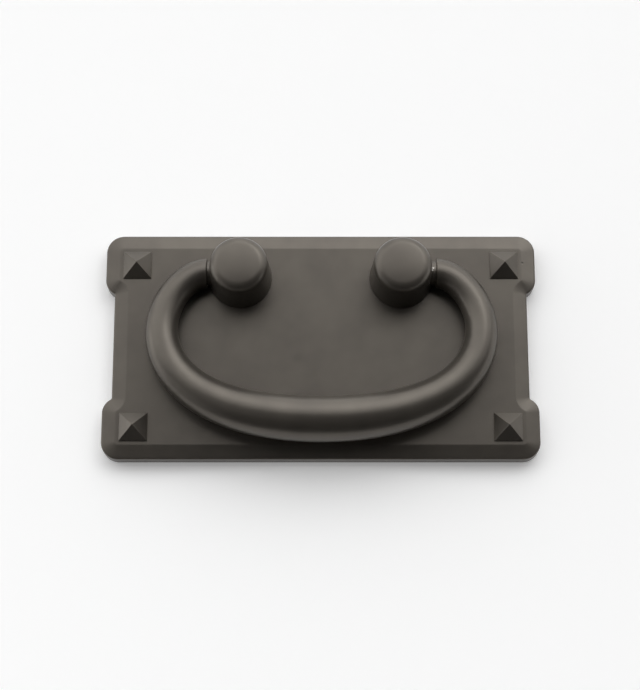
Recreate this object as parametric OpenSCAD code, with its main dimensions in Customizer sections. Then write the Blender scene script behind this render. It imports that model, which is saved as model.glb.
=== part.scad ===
// Cabinet pull in the mission style: a notched, bevelled backplate with four pyramid studs, two round
// posts and a bail that swings between them. It lies on its back, face up, with the origin in the middle
// of that back.

/* [Backplate] */
// Width over the ears
plate_w = 102.2; // [96:0.2:120]
// Height from the top edge to the bottom edge
plate_h = 54.4; // [50:0.2:70]
// Height at which the bevel's slope meets the side wall
edge_h = 3.7; // [2.6:0.1:5]
// Rise of the bevel from the side wall to the flat face
bevel_rise = 0.6; // [0.3:0.1:1.2]
// Width of the bevel, the same all round
bevel_w = 3.3; // [2:0.1:3.4]
// How far each ear stands out beyond the narrow stretch between the ears
ear_step = 2.2; // [1.2:0.1:3]
// Height of the narrow stretch between the ears
waist_h = 24.9; // [16:0.1:27]
// Radius of the ears' outer corners
corner_r = 4.1; // [3.8:0.1:8]
// Radius of the ear's rounded shoulder beside the narrow stretch
shoulder_r = 3.7; // [3.7:0.1:5]
// Radius of the small hollow at the foot of the shoulder
hollow_r = 0.55; // [0.4:0.05:1.5]
// Softened edge between the side wall and the bevel
edge_round = 0.5; // [0.2:0.05:0.8]
// How far the softened line between the bevel and the face reaches to each side
line_soft = 0.2; // [0.1:0.05:0.3]
// Width of the flat rim round the hollow back
rim_w = 3; // [2:0.1:5]
// Depth of the hollow back
recess_depth = 1.2; // [0.6:0.1:1.4]
// Wall of the round pad in the hollow back, outside each staking countersink
pad_wall = 3; // [1.5:0.1:4]

/* [Studs] */
// From the plate's outer edges to the middle of a stud
stud_inset = 7.5; // [7.2:0.1:9]
// Width of a stud across its flats
stud_w = 6.6; // [4:0.1:7]
// Height of the upright step under a stud's slopes
stud_step = 0.4; // [0.2:0.1:1]
// Height of a stud's tip above the face
stud_h = 3.2; // [1.5:0.1:5]

/* [Posts] */
// Distance between the two posts, which is the drilling distance of the door
post_pitch = 38.1; // [32:0.1:45]
// From the plate's top edge down to the posts
post_inset = 10.7; // [9.8:0.1:14]
// Diameter of a post where it stands on the face
post_foot_d = 14.9; // [14.4:0.1:16]
// Diameter of a post where its rounded head edge starts
post_head_d = 13.6; // [13:0.1:14.4]
// Height of a post's domed top above the face
post_h = 12.5; // [11.5:0.1:16]
// Radius of the head's rounded edge
head_round = 2.4; // [1.2:0.1:3]
// Radius of the domed top
dome_r = 24; // [16:1:60]
// Diameter of the tenon that goes through the plate
tenon_d = 8; // [6.5:0.1:9]
// Clearance round the tenon and its staked end
tenon_clear = 0.05; // [0.02:0.01:0.1]
// How far the staked end spreads beyond the tenon
stake_flare = 0.9; // [0.5:0.1:1.2]
// How far the staked end stays below the plate's back
stake_sink = 0.2; // [0.1:0.05:0.5]
// Diameter of the screw hole's thread at its crests
screw_core_d = 3.3; // [2.8:0.1:3.5]
// Depth of the screw hole above the face
screw_reach = 5.2; // [3:0.1:6.5]
// Chamfer at the screw hole's mouth
screw_chamfer = 0.4; // [0.2:0.1:0.6]

/* [Bail] */
// Height of the pivot above the face
pivot_h = 3.8; // [3.7:0.1:4.2]
// Diameter of the journals
journal_d = 5.7; // [4.8:0.1:6]
// Clearance all round a journal in its hole
journal_clear = 0.07; // [0.03:0.01:0.1]
// Depth of the journal's hole in the post
bore_depth = 4.5; // [3.2:0.1:4.6]
// Gap left beyond a journal's end when the bail stands in the middle
end_gap = 0.6; // [0.55:0.05:0.9]
// Gap between a post and the bail's end when the bail stands in the middle
side_play = 0.65; // [0.5:0.05:1.2]
// How far the bail lies to the right of the middle in its side play
bail_shift = 0.2; // [-0.4:0.1:0.4]
// Thickness of the bail at its ends
bail_end_d = 6.9; // [6.8:0.1:7.3]
// Thickness of the bail in the middle
bail_mid_d = 10.8; // [8:0.1:12]
// Rounded edge of the bail's ends
end_round = 0.35; // [0.1:0.05:0.5]
// From the bail's end out to the middle of its side where the bail is widest
bail_out = 10.4; // [9:0.1:12]
// From the pivot down to where the bail is widest
bail_shoulder = 13.9; // [12.5:0.1:16]
// From the pivot down to the middle of the bail's lowest stretch
bail_drop = 35.5; // [31:0.1:37]
// Pull of the curve straight out of the bail's end
end_pull = 4.7; // [3.5:0.1:5.5]
// Pull of the curve above the widest place
shoulder_pull = 7.5; // [6.5:0.1:8.5]
// Pull of the curve below the widest place
side_pull = 8.5; // [6.5:0.1:10]
// Pull of the curve sideways from the bail's middle
bottom_pull = 30.2; // [24:0.1:33]
// Gap between the resting bail and the face
rest_gap = 0.1; // [0.05:0.05:0.3]

/* [Hidden] */
$fn = 96;
FINISH = "#4d4841";
// Overlap of solids that are one casting
bite = 0.5;
// Smallest radius that an inward copy of a rounded corner keeps
least_r = 0.1;
// Straight steps that stand for each kind of arc
hollow_steps = 5;
shoulder_steps = 8;
corner_steps = 8;
edge_steps = 5;
head_steps = 10;
dome_steps = 8;
face_h = edge_h + bevel_rise;
post_x = post_pitch / 2;
post_y = plate_h / 2 - post_inset;
foot_r = post_foot_d / 2;
head_r = post_head_d / 2;
// A post's side, rounded head edge and dome run into each other without a step. These are the middle of
// the dome, the middle of the rounded edge's arc, how far the dome spreads and how much the side leans.
dome_mid = post_h - dome_r;
round_in = head_r - head_round;
round_h = dome_mid + sqrt(pow(dome_r - head_round, 2) - round_in * round_in);
spread = asin(round_in / (dome_r - head_round));
lean = acos(head_round / norm([foot_r - round_in, round_h])) - atan2(round_h, foot_r - round_in);
tenon_r = tenon_d / 2;
screw_r = screw_core_d / 2;
journal_r = journal_d / 2;
bore_r = journal_r + journal_clear;
pivot_z = face_h + pivot_h;
end_r = bail_end_d / 2;
mid_r = bail_mid_d / 2;
// Radius of a post at the pivot's height
side_r = foot_r - pivot_h * tan(lean);
bore_floor = side_r - bore_depth;
// Half the distance between the bail's two end faces
end_x = post_x + side_r + side_play;
wide_x = end_x + bail_out;

// Points of an arc about a centre, from one angle to another
function arc(mid, r, from, to, steps) =
    [for (i = [0:steps]) let (a = from + (to - from) * i / steps) mid + r * [cos(a), sin(a)]];

// The plate's outline, moved inwards by d, as one quarter: the hollow, the shoulder and the outer corner.
// The shoulder starts one step on from the point that it shares with the hollow.
function quarter(d) =
    let (
        shoulder = max(shoulder_r - d, least_r),
        hollow = hollow_r + d,
        corner = max(corner_r - d, least_r),
        bend = acos(1 - ear_step / (shoulder + hollow)),
        right = plate_w / 2 - d,
        top = plate_h / 2 - d,
        hollow_mid = [plate_w / 2 - ear_step + hollow_r, waist_h / 2],
        shoulder_mid = [right - shoulder, waist_h / 2 + (shoulder + hollow) * sin(bend)]
    )
    concat(
        arc(hollow_mid, hollow, 180, 180 - bend, hollow_steps),
        arc(shoulder_mid, shoulder, -bend * (1 - 1 / shoulder_steps), 0, shoulder_steps - 1),
        arc([right - corner, top - corner], corner, 0, 90, corner_steps)
    );

function flipped(points, sx, sy) = [for (p = points) [sx * p.x, sy * p.y]];
function backwards(points) = [for (i = [len(points) - 1:-1:0]) points[i]];

function outline(d) =
    let (q = quarter(d))
    concat(q, backwards(flipped(q, -1, 1)), flipped(q, -1, -1), backwards(flipped(q, 1, -1)));

// Side wall, softened edge, bevel and softened inner line, as [distance inwards, height]
slope = atan(bevel_rise / bevel_w);
round_z = edge_h + edge_round * (tan(slope) - 1 / cos(slope));
soft_drop = line_soft * tan(slope);
edge_profile = concat(
    [[0, 0]],
    arc([edge_round, round_z], edge_round, 180, 90 + slope, edge_steps),
    [
        [bevel_w - line_soft, face_h - soft_drop],
        [bevel_w, face_h - soft_drop / 4],
        [bevel_w + line_soft, face_h]
    ]
);

// Middle of a ring of points
function centre(ring) = [for (p = ring) 1] * ring / len(ring);

// Skin over a row of closed rings that all have the same number of points.
// A fan from the middle closes each end.
module loft(rings) {
    n = len(rings[0]);
    last = (len(rings) - 1) * n;
    first_mid = len(rings) * n;
    polyhedron(
        points = concat([for (ring = rings) each ring], [centre(rings[0]), centre(rings[len(rings) - 1])]),
        faces = concat(
            [for (k = [0:n - 1]) [first_mid, k, (k + 1) % n]],
            [for (i = [0:len(rings) - 2], k = [0:n - 1])
                [i * n + k, i * n + n + k, i * n + n + (k + 1) % n, i * n + (k + 1) % n]],
            [for (k = [0:n - 1]) [first_mid + 1, last + (k + 1) % n, last + k]]
        ),
        convexity = 6
    );
}

module stud() {
    translate([-stud_w / 2, -stud_w / 2, -bite]) cube([stud_w, stud_w, bite + stud_step]);
    translate([0, 0, stud_step])
        rotate([0, 0, 45])
            cylinder(h = stud_h - stud_step, r1 = stud_w / sqrt(2), r2 = 0, $fn = 4);
}

// Cone that spreads by stake_flare on its way down to the tenon's end, and on to the level given.
// It is the staked end itself, or with a clearance the countersink of the plate's back.
module stake(bottom, clear) {
    h = stake_sink + stake_flare - bottom;
    translate([0, 0, bottom]) cylinder(h = h, r1 = tenon_r + h + clear, r2 = tenon_r + clear);
}

module backplate() {
    color(FINISH)
    difference() {
        union() {
            loft([for (e = edge_profile) [for (p = outline(e.x)) [p.x, p.y, e.y]]]);
            for (sx = [-1, 1], sy = [-1, 1])
                translate([sx * (plate_w / 2 - stud_inset), sy * (plate_h / 2 - stud_inset), face_h]) stud();
        }
        translate([0, 0, -bite])
            difference() {
                linear_extrude(recess_depth + bite) polygon(outline(rim_w));
                for (sx = [-1, 1])
                    translate([sx * post_x, post_y, 0])
                        cylinder(h = recess_depth + bite, r = tenon_r + stake_sink + stake_flare + pad_wall);
            }
        for (sx = [-1, 1])
            translate([sx * post_x, post_y, 0]) {
                translate([0, 0, -bite]) cylinder(h = face_h + 2 * bite, r = tenon_r + tenon_clear);
                stake(-bite, tenon_clear);
            }
    }
}

// Half section of a post above the face: tapered side, rounded head edge and dome.
// The dome starts one step on from the point that it shares with the rounded edge.
function post_section() =
    concat(
        [[0, 0], [foot_r, 0]],
        arc([round_in, round_h], head_round, lean, 90 - spread, head_steps),
        arc([0, dome_mid], dome_r, 90 - spread * (1 - 1 / dome_steps), 90, dome_steps - 1)
    );

// The right post, on its own axis
module post() {
    difference() {
        union() {
            translate([0, 0, face_h]) rotate_extrude() polygon(post_section());
            translate([0, 0, stake_sink]) cylinder(h = face_h - stake_sink + bite, r = tenon_r);
            stake(stake_sink, 0);
        }
        translate([bore_floor, 0, pivot_z]) rotate([0, 90, 0]) cylinder(h = bore_depth + foot_r, r = bore_r);
        cylinder(h = face_h + screw_reach, r = screw_r);
        translate([0, 0, stake_sink - bite])
            cylinder(h = bite + screw_chamfer, r1 = screw_r + screw_chamfer + bite, r2 = screw_r);
    }
}

module right_post() {
    color(FINISH) translate([post_x, post_y, 0]) post();
}

module left_post() {
    color(FINISH) translate([-post_x, post_y, 0]) mirror([1, 0, 0]) post();
}

// Half the bail's centreline in its own plane, from the end face out, down and in to the middle:
// two curves that meet where the bail is widest
function pulled(a, b, c, d, t) =
    pow(1 - t, 3) * a + 3 * pow(1 - t, 2) * t * b + 3 * (1 - t) * t * t * c + pow(t, 3) * d;
function heading(a, b, c, d, t) = pow(1 - t, 2) * (b - a) + 2 * (1 - t) * t * (c - b) + t * t * (d - c);

upper = [[end_x, 0], [end_x + end_pull, 0], [wide_x, shoulder_pull - bail_shoulder], [wide_x, -bail_shoulder]];
lower = [
    [wide_x, -bail_shoulder], [wide_x, -bail_shoulder - side_pull], [bottom_pull, -bail_drop], [0, -bail_drop]
];
fine = 120; // steps along each curve, from which places along the bail are looked up
route = concat(
    [for (i = [0:fine]) pulled(upper[0], upper[1], upper[2], upper[3], i / fine)],
    [for (i = [1:fine]) pulled(lower[0], lower[1], lower[2], lower[3], i / fine)]
);
headings = concat(
    [for (i = [0:fine]) heading(upper[0], upper[1], upper[2], upper[3], i / fine)],
    [for (i = [1:fine]) heading(lower[0], lower[1], lower[2], lower[3], i / fine)]
);
// Distance along the route at each of its points
walked = [
    for (i = 0, s = 0; i <= 2 * fine; i = i + 1, s = s + (i <= 2 * fine ? norm(route[i] - route[i - 1]) : 0)) s
];
half_len = walked[2 * fine];
x_at = [for (i = [0:2 * fine]) [walked[i], route[i].x]];
y_at = [for (i = [0:2 * fine]) [walked[i], route[i].y]];
turn_at = [for (i = [0:2 * fine]) [walked[i], acos(headings[i].x / norm(headings[i]))]];

// The bail's radius at a distance s from its end: it swells smoothly to the middle
function bail_r(s) =
    end_r + (mid_r - end_r) * (0.5 - 0.5 * cos(180 * s / half_len))
    - (s < end_round ? end_round - sqrt(end_round * end_round - pow(end_round - s, 2)) : 0);

bail_sides = 32;
half_rings = 36;
end_rings = 4;
// Distances from the bail's end at which its surface has a ring: close together on the rounded edge, then even
stations = concat(
    [for (i = [0:end_rings - 1]) end_round * (1 - cos(90 * i / end_rings))],
    [for (i = [0:half_rings]) end_round + (half_len - end_round) * i / half_rings]
);

// Ring of the bail's surface at a distance s from its right (side 1) or left (side -1) end
function bail_ring(s, side) =
    let (turn = lookup(s, turn_at), mid = [side * lookup(s, x_at), lookup(s, y_at), 0])
    [for (k = [0:bail_sides - 1])
        let (a = 360 * k / bail_sides)
        mid + bail_r(s) * [side * sin(turn) * cos(a), cos(turn) * cos(a), sin(a)]];

// The bail's plane is lifted so that its thick middle just clears the face
rest_tilt = asin((mid_r + rest_gap - pivot_h) / bail_drop);
journal_len = side_play + bore_depth - end_gap;

module bail() {
    color(FINISH)
    translate([bail_shift, post_y, pivot_z])
        rotate([-rest_tilt, 0, 0]) {
            loft(concat(
                [for (s = stations) bail_ring(s, 1)],
                [for (i = [len(stations) - 2:-1:0]) bail_ring(stations[i], -1)]
            ));
            for (sx = [0, 1])
                mirror([sx, 0, 0])
                    translate([end_x - journal_len, 0, 0])
                        rotate([0, 90, 0])
                            cylinder(h = journal_len + bite, r = journal_r);
        }
}

backplate();
left_post();
right_post();
bail();
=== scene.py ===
import math

import bmesh
import bpy
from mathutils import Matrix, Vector
from mathutils.geometry import interpolate_bezier


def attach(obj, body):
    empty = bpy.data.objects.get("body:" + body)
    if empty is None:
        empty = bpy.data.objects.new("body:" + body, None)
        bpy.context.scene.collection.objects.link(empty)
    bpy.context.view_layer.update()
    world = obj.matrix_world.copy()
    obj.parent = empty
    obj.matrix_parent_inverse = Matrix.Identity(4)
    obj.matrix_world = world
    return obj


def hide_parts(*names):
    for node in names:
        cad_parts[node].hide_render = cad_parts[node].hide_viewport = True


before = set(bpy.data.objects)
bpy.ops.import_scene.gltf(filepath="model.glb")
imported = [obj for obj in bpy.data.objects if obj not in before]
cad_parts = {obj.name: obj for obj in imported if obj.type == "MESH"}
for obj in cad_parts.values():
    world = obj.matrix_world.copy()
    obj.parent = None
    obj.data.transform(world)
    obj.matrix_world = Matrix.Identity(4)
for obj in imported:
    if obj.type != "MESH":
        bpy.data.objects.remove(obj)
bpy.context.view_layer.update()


# Backplate.
# The real piece is one zinc die casting: an oblong plate with a bevel all round, ears that stand out at its
# four corners and a square pyramid stud on each ear. It is hollow behind, and sprayed in a satin bronze.
plate_w, plate_h = 102.2, 54.4
edge_h, bevel_rise, bevel_w = 3.7, 0.6, 3.3
edge_round, edge_steps, line_soft = 0.5, 6, 0.2
face_h = edge_h + bevel_rise
ear_step = 2.2
waist_half = 12.45
corner_r, shoulder_r, hollow_r = 4.1, 3.7, 0.55
stud_inset, stud_w, stud_step, stud_h, ridge_round = 7.5, 6.6, 0.4, 3.2, 0.13
rim_w, recess_depth, pad_r, pad_h = 3, 1.2, 8.1, face_h / 2
post_x, post_y = 19.05, 16.5
tenon_r, tenon_clear, stake_top = 4, 0.05, 1.1
# All pieces are shaped in millimetres, and brought to metres when they are finished
mm = 0.001
# How near two points count as one, how far a cutting shape stands out past what it cuts, and how many sides
# draw a round
hair, over, round_sides = 0.001, 1, 96


def only(piece):
    """Leaves just this piece selected, and active."""
    bpy.ops.object.select_all(action="DESELECT")
    piece.select_set(True)
    bpy.context.view_layer.objects.active = piece


def edit(piece):
    """Opens one piece in edit mode."""
    only(piece)
    bpy.ops.object.mode_set(mode="EDIT")


def done():
    """Closes edit mode."""
    bpy.ops.object.mode_set(mode="OBJECT")


def choose(piece, kind, test):
    """In edit mode, leaves just the edges or faces selected that pass the test."""
    bpy.ops.mesh.select_mode(type=kind)
    bpy.ops.mesh.select_all(action="DESELECT")
    shape = bmesh.from_edit_mesh(piece.data)
    for part in {"EDGE": shape.edges, "FACE": shape.faces}[kind]:
        if test(part):
            part.select_set(True)
    shape.select_flush_mode()
    bmesh.update_edit_mesh(piece.data)


def faces_up(face):
    """True of a face that is level, or nearly so, and looks up."""
    return face.normal.z > 0.9


def faces_down(face):
    """True of a face that is level, or nearly so, and looks down."""
    return face.normal.z < -0.9


def weld():
    """In edit mode, makes one of corners that lie in the same place."""
    bpy.ops.mesh.select_all(action="SELECT")
    bpy.ops.mesh.remove_doubles(threshold=hair)


def pull(x, y, z):
    """Extrudes what is selected by this much."""
    bpy.ops.mesh.extrude_region_move(TRANSFORM_OT_translate={"value": (x, y, z)})


def sweep(turn, x, y, steps):
    """Extrudes what is selected along an arc round this centre."""
    bpy.ops.mesh.spin(steps=steps, angle=turn, center=(x, y, 0), axis=(0, 0, 1))


def settle(piece):
    """Puts the object at the origin, unturned and unscaled, with its place in its mesh."""
    only(piece)
    bpy.ops.object.transform_apply(location=True, rotation=True, scale=True)


def copy_of(piece):
    """A copy of a piece, with its own mesh."""
    copy = piece.copy()
    copy.data = piece.data.copy()
    bpy.context.scene.collection.objects.link(copy)
    return copy


def combine(piece, other, how):
    """Joins another closed shape to a piece, or cuts it away, and clears the other shape."""
    only(piece)
    modifier = piece.modifiers.new(how.lower(), "BOOLEAN")
    modifier.operation = how
    modifier.solver = "EXACT"
    modifier.object = other
    bpy.ops.object.modifier_apply(modifier=modifier.name)
    bpy.data.objects.remove(other, do_unlink=True)
    edit(piece)
    weld()
    done()


def rod(radius, low, high, x, y, top_radius=None, sides=round_sides):
    """A closed round rod or cone frustum that stands between two heights."""
    bpy.ops.object.select_all(action="DESELECT")
    bpy.ops.mesh.primitive_cone_add(
        vertices=sides, radius1=radius, radius2=radius if top_radius is None else top_radius,
        depth=high - low, location=(x, y, (low + high) / 2),
    )
    piece = bpy.context.object
    settle(piece)
    return piece


def finish(piece, crease):
    """Brings a piece, shaped in millimetres, to metres. Edges up to crease degrees are shaded smooth, and
    the large faces stay flat."""
    piece.scale = (mm, mm, mm)
    settle(piece)
    bpy.ops.object.shade_smooth_by_angle(angle=math.radians(crease))
    modifier = piece.modifiers.new("flat_faces_first", "WEIGHTED_NORMAL")
    modifier.keep_sharp = True
    modifier.weight = 90
    bpy.ops.object.modifier_apply(modifier=modifier.name)


def colour(code):
    """An sRGB hex colour as the linear colour that shaders take."""
    parts = [int(code[i:i + 2], 16) / 255 for i in (0, 2, 4)]
    return tuple(c / 12.92 if c <= 0.04045 else ((c + 0.055) / 1.055) ** 2.4 for c in parts) + (1,)


def put(tree, kind, settings=None, inputs=None):
    """Adds a shader node with its settings and gives back its outputs. Inputs go by name, or by number where
    names repeat. One that is another node's output is linked, and any other is set as a plain value."""
    node = tree.nodes.new(kind)
    for name, value in (settings or {}).items():
        setattr(node, name, value)
    for name, value in (inputs or {}).items():
        if isinstance(value, bpy.types.NodeSocket):
            tree.links.new(value, node.inputs[name])
        else:
            node.inputs[name].default_value = value
    return node.outputs


# All four castings have one finish, a satin bronze lacquer with fine metal flake, sprayed over bare zinc.
# The flake gives a soft, half metallic shine. The spray lies in faint clouds and pulls back from sharp
# edges, where a warmer tone comes through, and the same lighter colour on sharp edges is also a painted
# highlight for the light that rounded edges catch. The real flake is finer than 0.1 mm, and is drawn coarser
# so that it shows. The sizes are in millimetres.
dark_bronze, light_bronze, worn_and_sheen_bronze = colour("56514B"), colour("5D5851"), colour("7A7062")
bare_zinc, stain_and_shade_brown = colour("DAD6CF"), colour("2E2B27")
bronze_metal, zinc_metal = 0.6, 0.1
smoothest, roughest = 0.29, 0.37
cloud_size, flake_size, flake_depth, flake_bump, flake_grit = 7, 0.3, 0.01, 0.25, 0.6
# Edges count as sharp by how far the rounded normal agrees with the true one, from where the lighter edge
# begins to where it is full. The lighter edge is part wear, part painted highlight.
wear_and_sheen_width, wear_and_sheen_most, edge_begins, edge_full = 0.25, 0.5, 0.995, 0.9
# Most of a noise pattern's values lie between these
noise_low, noise_high = 0.3, 0.7
# A chip fades out over this share of its size, and the flake makes its edge ragged by this share
chip_core, chip_ragged = 0.7, 0.6


def spray(piece, chips=(), stains_and_pit_shade=()):
    """Gives a casting its lacquer, with sharp edges painted lighter, part wear and part painted highlight. A
    chip, given as (x, y, z, size), shows the bare zinc. A stain or a pit, given as (x, y, z, size, depth,
    darkness), is sunk and darker; on a pit the darker colour is painted shade in its hollow."""
    lacquer = bpy.data.materials.new(piece.name.replace("_cast", "_bronze_lacquer"))
    lacquer.use_nodes = True
    tree = lacquer.node_tree
    tree.nodes.clear()
    place = put(tree, "ShaderNodeTexCoord")["Object"]
    clouds = put(tree, "ShaderNodeTexNoise", inputs={"Vector": place, "Scale": 1 / (cloud_size * mm)})["Fac"]
    flake = put(tree, "ShaderNodeTexNoise", inputs={
        "Vector": place, "Scale": 1 / (flake_size * mm), "Roughness": flake_grit,
    })["Fac"]
    tone = put(tree, "ShaderNodeMapRange", inputs={
        "Value": clouds, "From Min": noise_low, "From Max": noise_high,
    })[0]
    shown = put(tree, "ShaderNodeMix", {"data_type": "RGBA"}, {0: tone, 6: dark_bronze, 7: light_bronze})[2]

    # On a sharp edge the rounded normal turns away from the true one, and that is where the spray is thin
    # and where a painted highlight is laid on
    rounded = put(tree, "ShaderNodeBevel", {"samples": 6}, {"Radius": wear_and_sheen_width * mm})[0]
    true = put(tree, "ShaderNodeNewGeometry")["Normal"]
    match = put(tree, "ShaderNodeVectorMath", {"operation": "DOT_PRODUCT"}, {0: rounded, 1: true})["Value"]
    edge = put(tree, "ShaderNodeMapRange", inputs={
        "Value": match, "From Min": edge_begins, "From Max": edge_full, "To Max": wear_and_sheen_most,
    })[0]
    # Sharp edges are painted lighter: part worn spray, part painted highlight
    worn_and_sheen = put(tree, "ShaderNodeMath", {"operation": "MULTIPLY"}, {0: edge, 1: tone})[0]
    shown = put(tree, "ShaderNodeMix", {"data_type": "RGBA"}, {0: worn_and_sheen, 6: shown, 7: worn_and_sheen_bronze})[2]

    metal, bare = bronze_metal, None
    for x, y, z, size in chips:
        centre = Vector((x, y, z)) * mm
        away = put(tree, "ShaderNodeVectorMath", {"operation": "DISTANCE"}, {0: place, 1: centre})["Value"]
        ragged = put(tree, "ShaderNodeMath", {"operation": "MULTIPLY_ADD"}, {
            0: flake, 1: chip_ragged * size * mm, 2: away,
        })[0]
        chip = put(tree, "ShaderNodeMapRange", inputs={
            "Value": ragged, "From Min": size * mm, "From Max": chip_core * size * mm,
        })[0]
        bare = put(tree, "ShaderNodeMath", {"operation": "MAXIMUM"}, {0: bare, 1: chip})[0] if bare else chip
    if bare:
        shown = put(tree, "ShaderNodeMix", {"data_type": "RGBA"}, {0: bare, 6: shown, 7: bare_zinc})[2]
        metal = put(tree, "ShaderNodeMapRange", inputs={
            "Value": bare, "To Min": bronze_metal, "To Max": zinc_metal,
        })[0]

    relief = put(tree, "ShaderNodeBump", inputs={
        "Height": flake, "Strength": flake_bump, "Distance": flake_depth * mm,
    })[0]
    # Each mark is sunk and painted darker: on a stain this is the stain, on a pit it is painted shade
    for x, y, z, size, depth, darkness in stains_and_pit_shade:
        centre = Vector((x, y, z)) * mm
        away = put(tree, "ShaderNodeVectorMath", {"operation": "DISTANCE"}, {0: place, 1: centre})["Value"]
        level = put(tree, "ShaderNodeMapRange", {"interpolation_type": "SMOOTHSTEP"}, {
            "Value": away, "From Max": size * mm,
        })[0]
        dark = put(tree, "ShaderNodeMapRange", inputs={"Value": level, "To Min": darkness, "To Max": 0})[0]
        shown = put(tree, "ShaderNodeMix", {"data_type": "RGBA"}, {0: dark, 6: shown, 7: stain_and_shade_brown})[2]
        relief = put(tree, "ShaderNodeBump", inputs={
            "Height": level, "Strength": 1, "Distance": depth * mm, "Normal": relief,
        })[0]

    rough = put(tree, "ShaderNodeMapRange", inputs={
        "Value": flake, "From Min": noise_low, "From Max": noise_high,
        "To Min": smoothest, "To Max": roughest,
    })[0]
    coat = put(tree, "ShaderNodeBsdfPrincipled", inputs={
        "Base Color": shown, "Metallic": metal, "Roughness": rough, "Normal": relief,
    })[0]
    put(tree, "ShaderNodeOutputMaterial", inputs={"Surface": coat})
    piece.data.materials.clear()
    piece.data.materials.append(lacquer)


# The side wall ends where the rounded edge starts. From there the top is inset along this line of
# (distance inwards, height): the rounded edge, the bevel and the softened line between bevel and face.
slope = math.atan(bevel_rise / bevel_w)
wall_h = edge_h + edge_round * (math.tan(slope) - 1 / math.cos(slope))
turns = [math.pi - (math.pi / 2 - slope) * i / edge_steps for i in range(edge_steps + 1)]
top_line = [(edge_round * (1 + math.cos(a)), wall_h + edge_round * math.sin(a)) for a in turns]
soft_drop = line_soft * math.tan(slope)
top_line += [
    (bevel_w - line_soft, face_h - soft_drop),
    (bevel_w, face_h - soft_drop / 4),
    (bevel_w + line_soft, face_h),
]

# A quarter of the outline is drawn by one travelling corner: along the top edge, round the ear's corner,
# down its side and through the two arcs to the narrow stretch. Then it is mirrored twice and raised.
bend = math.acos(1 - ear_step / (shoulder_r + hollow_r))
shoulder_y = waist_half + (shoulder_r + hollow_r) * math.sin(bend)
corner_x, corner_y = plate_w / 2 - corner_r, plate_h / 2 - corner_r
bpy.ops.object.select_all(action="DESELECT")
bpy.ops.mesh.primitive_plane_add(size=1, location=(0, plate_h / 2, 0))
backplate = bpy.context.object
backplate.name = "backplate_cast"
settle(backplate)
edit(backplate)
bpy.ops.mesh.select_all(action="SELECT")
bpy.ops.mesh.merge(type="CENTER")
pull(corner_x, 0, 0)
sweep(math.pi / 2, corner_x, corner_y, steps=14)
pull(0, shoulder_y - corner_y, 0)
sweep(bend, plate_w / 2 - shoulder_r, shoulder_y, steps=10)
sweep(-bend, plate_w / 2 - ear_step + hollow_r, waist_half, steps=4)
pull(0, -waist_half, 0)
done()
modifier = backplate.modifiers.new("four_quarters", "MIRROR")
modifier.use_axis = (True, True, False)
modifier.merge_threshold = hair
only(backplate)
bpy.ops.object.modifier_apply(modifier=modifier.name)
edit(backplate)
weld()
bpy.ops.mesh.edge_face_add()
pull(0, 0, wall_h)
bpy.ops.mesh.select_all(action="SELECT")
bpy.ops.mesh.normals_make_consistent(inside=False)
choose(backplate, "FACE", faces_up)
for (was_in, was_z), (inwards, z) in zip(top_line, top_line[1:]):
    bpy.ops.mesh.inset(thickness=inwards - was_in, depth=z - was_z, use_even_offset=True)
choose(backplate, "FACE", faces_down)
bpy.ops.mesh.inset(thickness=rim_w, use_even_offset=True)
pull(0, 0, recess_depth)
done()

# The pyramid stud is shaped once and stands on each ear as a copy
bpy.ops.object.select_all(action="DESELECT")
bpy.ops.mesh.primitive_cube_add(size=1, location=(0, 0, face_h), scale=(stud_w, stud_w, 2 * stud_step))
stud = bpy.context.object
settle(stud)
edit(stud)
choose(stud, "FACE", faces_up)
pull(0, 0, stud_h - stud_step)
bpy.ops.mesh.merge(type="CENTER")
choose(stud, "EDGE", lambda edge: min(corner.co.z for corner in edge.verts) > face_h)
bpy.ops.mesh.bevel(offset=ridge_round, segments=2, profile=0.6)
done()
for right, up in ((-1, -1), (1, -1), (-1, 1), (1, 1)):
    ear_stud = copy_of(stud)
    ear_stud.location = (right * (plate_w / 2 - stud_inset), up * (plate_h / 2 - stud_inset), 0)
    settle(ear_stud)
    combine(backplate, ear_stud, "UNION")
bpy.data.objects.remove(stud, do_unlink=True)

# Behind each post a pad fills the recess. The tenon's hole goes through it, and widens behind for its staked
# end.
hole_r = tenon_r + tenon_clear
for side in (-1, 1):
    combine(backplate, rod(pad_r, 0, pad_h, side * post_x, post_y), "UNION")
    combine(backplate, rod(hole_r, -over, face_h + over, side * post_x, post_y), "DIFFERENCE")
    stake_hole = rod(hole_r + stake_top + over, -over, stake_top, side * post_x, post_y, top_radius=hole_r)
    combine(backplate, stake_hole, "DIFFERENCE")
finish(backplate, crease=28)

# A small pit on the right upper ear's bevel, darkened with painted shade in its hollow, and a faint soft
# stain on the face
spray(backplate, stains_and_pit_shade=[(48.05, 20.25, 4.26, 0.36, 0.06, 0.45), (-5.57, -3.12, 4.3, 1.8, 0.01, 0.16)])
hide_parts("backplate")
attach(backplate, "base")


# Posts.
# Each real post is a zinc casting with a leaning side, a big rounded head edge and a slightly domed top. Its
# tenon goes through the plate and is staked behind, and a blind hole in its outer side holds the bail's end.
foot_r, head_r, post_h, post_sides = 7.45, 6.8, 12.5, 128
head_round, head_steps = 2.4, 14
# The dome is a little flatter than on the CAD post that this one replaces, as the shading in the photo shows
dome_r, dome_steps = 40, 12
pivot_h, journal_r, journal_clear, bore_depth = 3.8, 2.85, 0.07, 4.5
stake_sink, stake_flare = 0.2, 0.9
screw_r, screw_chamfer, screw_top = 1.65, 0.4, face_h + 5.2
pivot_z = face_h + pivot_h
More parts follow.
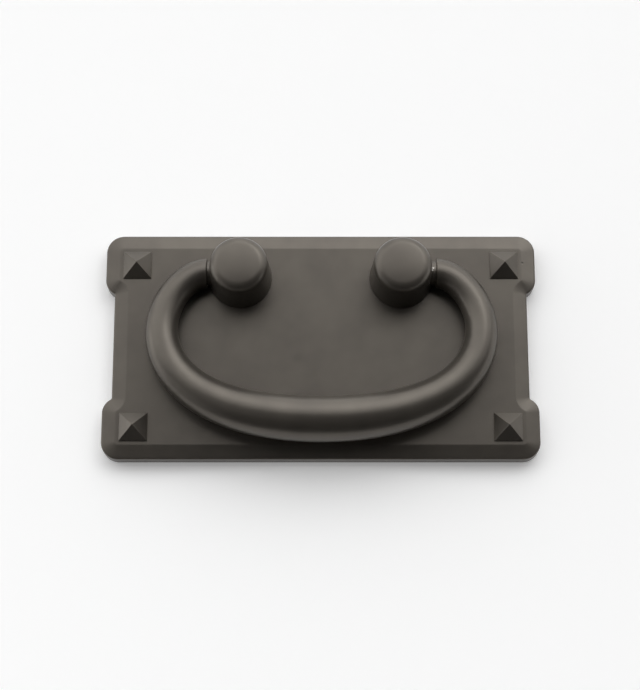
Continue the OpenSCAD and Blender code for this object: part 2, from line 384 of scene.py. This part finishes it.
# The leaning side and the dome both run into the head's rounded edge without a step
dome_mid = post_h - dome_r
round_in = head_r - head_round
round_h = dome_mid + math.sqrt((dome_r - head_round) ** 2 - round_in ** 2)
spread = math.asin(round_in / (dome_r - head_round))
reach = math.hypot(foot_r - round_in, round_h)
lean = math.acos(head_round / reach) - math.atan2(round_h, foot_r - round_in)
side_top = (round_in + head_round * math.cos(lean), face_h + round_h + head_round * math.sin(lean))
side_r = foot_r - pivot_h * math.tan(lean)


def draw_out(x, y, rings):
    """Extrudes the chosen round face through a row of (radius, height), starting from its own."""
    for (was_r, was_z), (r, z) in zip(rings, rings[1:]):
        pull(0, 0, z - was_z)
        bpy.ops.transform.resize(value=(r / was_r, r / was_r, 1), center_override=(x, y, z))


def turned(r_mid, z_mid, r, start, stop, steps):
    """Points of an arc as (radius, height), with the start left out."""
    angles = [start + (stop - start) * i / steps for i in range(1, steps + 1)]
    return [(r_mid + r * math.cos(a), z_mid + r * math.sin(a)) for a in angles]


right_post = rod(foot_r, face_h, side_top[1], post_x, post_y, top_radius=side_top[0], sides=post_sides)
right_post.name = "right_post_cast"
edit(right_post)
choose(right_post, "FACE", faces_up)
dome_start = math.pi / 2 - spread
dome_stop = math.pi / 2 - spread / dome_steps
crown = [side_top]
crown += turned(round_in, face_h + round_h, head_round, lean, dome_start, head_steps)
crown += turned(0, face_h + dome_mid, dome_r, dome_start, dome_stop, dome_steps - 1)
draw_out(post_x, post_y, crown)
bpy.ops.mesh.merge(type="CENTER")
bpy.ops.transform.translate(value=(0, 0, face_h + post_h - crown[-1][1]))

# The tenon is drawn out of the foot and widens where it is staked, and the mounting screw's hole goes up it
choose(right_post, "FACE", faces_down)
bpy.ops.mesh.inset(thickness=foot_r - tenon_r, use_even_offset=True)
draw_out(post_x, post_y, [
    (tenon_r, face_h), (tenon_r, stake_sink + stake_flare), (tenon_r + stake_flare, stake_sink),
])
bpy.ops.mesh.inset(thickness=tenon_r + stake_flare - screw_r - screw_chamfer, use_even_offset=True)
draw_out(post_x, post_y, [
    (screw_r + screw_chamfer, stake_sink), (screw_r, stake_sink + screw_chamfer), (screw_r, screw_top),
])
done()

# The hole in the outer side is drilled level, from outside the post
drill_from, drill_to = side_r - bore_depth, side_r + foot_r
bpy.ops.object.select_all(action="DESELECT")
bpy.ops.mesh.primitive_cylinder_add(
    vertices=round_sides, radius=journal_r + journal_clear, depth=drill_to - drill_from,
    location=(post_x + (drill_from + drill_to) / 2, post_y, pivot_z), rotation=(0, math.pi / 2, 0),
)
drill = bpy.context.object
settle(drill)
combine(right_post, drill, "DIFFERENCE")

# The left post is a copy, turned half round
left_post = copy_of(right_post)
left_post.name = "left_post_cast"
left_post.location = (0, 2 * post_y, 0)
left_post.rotation_euler = (0, 0, math.pi)
settle(left_post)

# Specks on both outer sides, beside the bail's ends, where the lacquer has chipped off
left_chips = [(-25.85, 13.95, 6.68, 0.3), (-25.86, 13.65, 5.38, 0.3)]
right_chips = [(25.32, 13.5, 11.75, 0.3), (25.43, 13.45, 9.93, 0.3), (25.54, 13.4, 8.1, 0.3)]
for post, node, chips in ((left_post, "left_post", left_chips), (right_post, "right_post", right_chips)):
    finish(post, crease=35)
    spray(post, chips=chips)
    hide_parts(node)
    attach(post, "base")


# Bail.
# The real bail is one zinc casting of round section that swells from its ends to its middle. At each end it
# necks down to a journal, which is sprung into the post's hole and turns there.
side_play, end_gap, bail_shift = 0.65, 0.6, 0.2
end_r, mid_r, end_round, journal_round = 3.45, 5.4, 0.35, 0.3
bail_out, bail_shoulder, bail_drop = 10.4, 13.9, 35.5
end_pull, shoulder_pull, side_pull, bottom_pull = 4.7, 7.5, 8.5, 30.2
rest_gap = 0.1
line_cuts, trail_steps = 11, 40
end_x = post_x + side_r + side_play
wide_x = end_x + bail_out
journal_len = side_play + bore_depth - end_gap
tilt = math.asin((mid_r + rest_gap - pivot_h) / bail_drop)


def on_plane(x, y):
    """A point of the bail's own plane, which starts at the pivot and lifts its far side off the face."""
    return Vector((x + bail_shift, post_y + y * math.cos(tilt), pivot_z - y * math.sin(tilt)))


def is_cap(face):
    """True of the round faces at the bail's ends, which have far more corners than the faces along it."""
    return len(face.verts) > 8


# The centre line goes through five points, each with its handles before and after. The left half is the
# right half mirrored, and is gone through the other way.
before_shoulder, after_shoulder = shoulder_pull - bail_shoulder, -bail_shoulder - side_pull
right_half = [
    ((end_x, 0), (end_x - end_pull, 0), (end_x + end_pull, 0)),
    ((wide_x, -bail_shoulder), (wide_x, before_shoulder), (wide_x, after_shoulder)),
]
middle = ((0, -bail_drop), (bottom_pull, -bail_drop), (-bottom_pull, -bail_drop))
left_half = [[(-x, y) for x, y in (at, after, before)] for at, before, after in reversed(right_half)]
stops = [*right_half, middle, *left_half]
bpy.ops.object.select_all(action="DESELECT")
bpy.ops.curve.primitive_bezier_curve_add(location=(0, 0, 0))
bail = bpy.context.object
bail.name = "bail_cast"
line = bail.data.splines[0]
line.bezier_points.add(len(stops) - len(line.bezier_points))
for point, (at, before, after) in zip(line.bezier_points, stops):
    point.handle_left_type = point.handle_right_type = "FREE"
    point.co, point.handle_left, point.handle_right = on_plane(*at), on_plane(*before), on_plane(*after)
edit(bail)
bpy.ops.curve.select_all(action="SELECT")
bpy.ops.curve.subdivide(number_cuts=line_cuts)
done()

# Its radius, in millimetres because the bevel's depth is one, swells smoothly from the ends to the middle
line = bail.data.splines[0]
walked = [0]
for a, b in zip(line.bezier_points, line.bezier_points[1:]):
    trail = interpolate_bezier(a.co, a.handle_right, b.handle_left, b.co, trail_steps)
    walked.append(walked[-1] + sum((q - p).length for p, q in zip(trail, trail[1:])))
for point, so_far in zip(line.bezier_points, walked):
    swell = 0.5 - 0.5 * math.cos(2 * math.pi * so_far / walked[-1])
    point.radius = end_r + (mid_r - end_r) * swell
bail.data.dimensions = "3D"
bail.data.bevel_depth = 1
bail.data.bevel_resolution = 14
bail.data.resolution_u = 6
only(bail)
bpy.ops.object.convert(target="MESH")

# The open ends are closed, rounded, and drawn inwards to the journals
edit(bail)
for side in (-1, 1):
    choose(bail, "EDGE", lambda edge: edge.is_boundary and edge.verts[0].co.x * side > 0)
    bpy.ops.mesh.edge_face_add()
bpy.ops.mesh.select_all(action="SELECT")
bpy.ops.mesh.normals_make_consistent(inside=False)
choose(bail, "FACE", is_cap)
bpy.ops.mesh.bevel(offset=end_round, segments=4, profile=0.5)
for side in (-1, 1):
    choose(bail, "FACE", lambda face: is_cap(face) and face.calc_center_median().x * side > 0)
    bpy.ops.mesh.inset(thickness=end_r - end_round - journal_r, use_even_offset=True)
    pull(-side * journal_len, 0, 0)
    bpy.ops.mesh.bevel(offset=journal_round, segments=2, profile=0.5)
done()
finish(bail, crease=35)

# Two specks of bare zinc on the right journal, in the gap beside the post
spray(bail, chips=[(26.36, 16.94, 10.9, 0.35), (26.12, 16.44, 10.94, 0.3)])
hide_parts("bail")
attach(bail, "swing")


# Table.
# The handle lies on a matt white table top, which isn't part of the object. Where the tent gives the table
# less light, a glow that only the camera sees, straight or mirrored, keeps it evenly white.
table_white, table_size, table_drop = 0.9, 20, 0.05 * mm
# In metres, the glow comes in from behind the handle to a little in front of it, and grows on from there
near_from, near_to, near_glow = 0.148, -0.1, 0.335
front_to, front_glow = -0.6, 0.42
# It takes over all round where the table goes on beyond the tent
beyond_from, beyond_to, beyond_glow = 0.62, 0.95, 0.9


def seen(tree):
    """Gives 1 to what the camera sees, straight on, mirrored or through glass, and 0 to all other rays."""
    rays = put(tree, "ShaderNodeLightPath")
    straight, mirrored, through = rays["Is Camera Ray"], rays["Is Glossy Ray"], rays["Is Transmission Ray"]
    either = put(tree, "ShaderNodeMath", {"operation": "MAXIMUM"}, {0: straight, 1: mirrored})[0]
    return put(tree, "ShaderNodeMath", {"operation": "MAXIMUM"}, {0: either, 1: through})[0]


bpy.ops.object.select_all(action="DESELECT")
bpy.ops.mesh.primitive_plane_add(size=table_size, location=(0, 0, -table_drop))
table = bpy.context.object
table.name = "floor"
laminate = bpy.data.materials.new("white_table")
laminate.use_nodes = True
tree = laminate.node_tree
tree.nodes.clear()
place = put(tree, "ShaderNodeTexCoord")["Object"]
along = put(tree, "ShaderNodeSeparateXYZ", inputs={0: place})["Y"]
apart = put(tree, "ShaderNodeVectorMath", {"operation": "LENGTH"}, {0: place})["Value"]
matt = put(tree, "ShaderNodeBsdfDiffuse", inputs={"Color": (table_white, table_white, table_white, 1)})[0]
near = put(tree, "ShaderNodeMapRange", inputs={
    "Value": along, "From Min": near_from, "From Max": near_to, "To Max": near_glow,
})[0]
front = put(tree, "ShaderNodeMapRange", inputs={
    "Value": along, "From Min": near_to, "From Max": front_to, "To Max": front_glow,
})[0]
beyond = put(tree, "ShaderNodeMapRange", inputs={
    "Value": apart, "From Min": beyond_from, "From Max": beyond_to, "To Max": beyond_glow,
})[0]
inside = put(tree, "ShaderNodeMath", {"operation": "ADD"}, {0: near, 1: front})[0]
glow = put(tree, "ShaderNodeMath", {"operation": "MAXIMUM"}, {0: inside, 1: beyond})[0]
seen_glow = put(tree, "ShaderNodeMath", {"operation": "MULTIPLY"}, {0: glow, 1: seen(tree)})[0]
shine = put(tree, "ShaderNodeEmission", inputs={"Strength": seen_glow})[0]
both = put(tree, "ShaderNodeAddShader", inputs={0: matt, 1: shine})[0]
put(tree, "ShaderNodeOutputMaterial", inputs={"Surface": both})
table.data.materials.append(laminate)


# Light tent.
# Soft panels hang round the table, most of them behind the handle and at its sides, and only faint ones in
# front, as the soft highlights and the dark front faces in the photo show.
tent_r = 0.7
# Each panel is given in degrees, as seen from the handle: how far to the right and to the back of straight
# up it hangs, and how wide and deep it is. The last number is how bright it is.
tent = [
    (0, 20, 24, 20, 1.27), (0, 45, 24, 32, 2.36), (0, 75, 24, 30, 1.75), (24, 14, 24, 16, 0.97),
    (24, 40, 24, 36, 3.08), (24, 74, 24, 32, 1.28), (-24, 14, 24, 16, 1.23), (-24, 40, 24, 36, 1.78),
    (-24, 74, 24, 32, 1.14), (48, 15, 24, 30, 0.92), (48, 58, 24, 56, 1.59), (-48, 15, 24, 30, 1.43),
    (-48, 58, 24, 56, 1.80), (72, 45, 24, 50, 0.72), (-72, 45, 24, 50, 1.43), (-72, -15, 24, 80, 0.98),
    (72, -50, 24, 60, 0.43), (-36, -12, 48, 36, 0.24), (-48, -55, 24, 50, 0.43), (-86, 0, 12, 160, 1.22),
    (86, 0, 12, 160, 0.63),
]
for *angles, level in tent:
    right, back, wide, deep = (math.radians(angle) for angle in angles)
    lamp = bpy.data.lights.new("tent_panel", "AREA")
    lamp.shape = "RECTANGLE"
    lamp.size = 2 * tent_r * math.tan(wide / 2)
    lamp.size_y = 2 * tent_r * math.tan(deep / 2) * math.cos(right)
    lamp.energy = math.pi * lamp.size * lamp.size_y * level
    panel = bpy.data.objects.new("tent_panel", lamp)
    bpy.context.scene.collection.objects.link(panel)
    way = Vector((math.sin(right), math.cos(right) * math.sin(back), math.cos(right) * math.cos(back)))
    panel.location = tent_r * way
    panel.rotation_mode = "YXZ"
    panel.rotation_euler = (-back, right, 0)


# Room.
# A little light comes back from the dark room round the tent. In views from low down, the camera sees the
# table's white go on to the horizon.
room_light, horizon_white = 0.02, 0.939
# How high the white goes, and where the dark begins, as the sine of the angle above the level
white_up_to, dark_from = 0.03, 0.07
room = bpy.context.scene.world or bpy.data.worlds.new("room")
bpy.context.scene.world = room
room.use_nodes = True
tree = room.node_tree
tree.nodes.clear()
outwards = put(tree, "ShaderNodeTexCoord")["Generated"]
height = put(tree, "ShaderNodeSeparateXYZ", inputs={0: outwards})["Z"]
level = put(tree, "ShaderNodeMapRange", inputs={
    "Value": height, "From Min": dark_from, "From Max": white_up_to,
    "To Min": room_light, "To Max": horizon_white,
})[0]
power = put(tree, "ShaderNodeMix", {"data_type": "FLOAT"}, {0: seen(tree), 2: room_light, 3: level})[0]
walls = put(tree, "ShaderNodeBackground", inputs={"Color": (1, 1, 1, 1), "Strength": power})[0]
put(tree, "ShaderNodeOutputWorld", inputs={"Surface": walls})


# Camera.
# It stands in front of the handle and looks down on it steeply, from 0.41 m away, as the photo's slight
# perspective shows.
target, distance, elevation = Vector((-0.000167, 0.001197, 0)), 0.4104, math.radians(75)
bpy.context.scene.view_settings.view_transform = "Standard"
lens = bpy.data.cameras.new("camera")
lens.sensor_width = 36
lens.lens = 90
camera = bpy.data.objects.new("camera", lens)
bpy.context.scene.collection.objects.link(camera)
bpy.context.scene.camera = camera
camera.location = target + distance * Vector((0, -math.cos(elevation), math.sin(elevation)))
camera.rotation_euler = (math.pi / 2 - elevation, 0, 0)
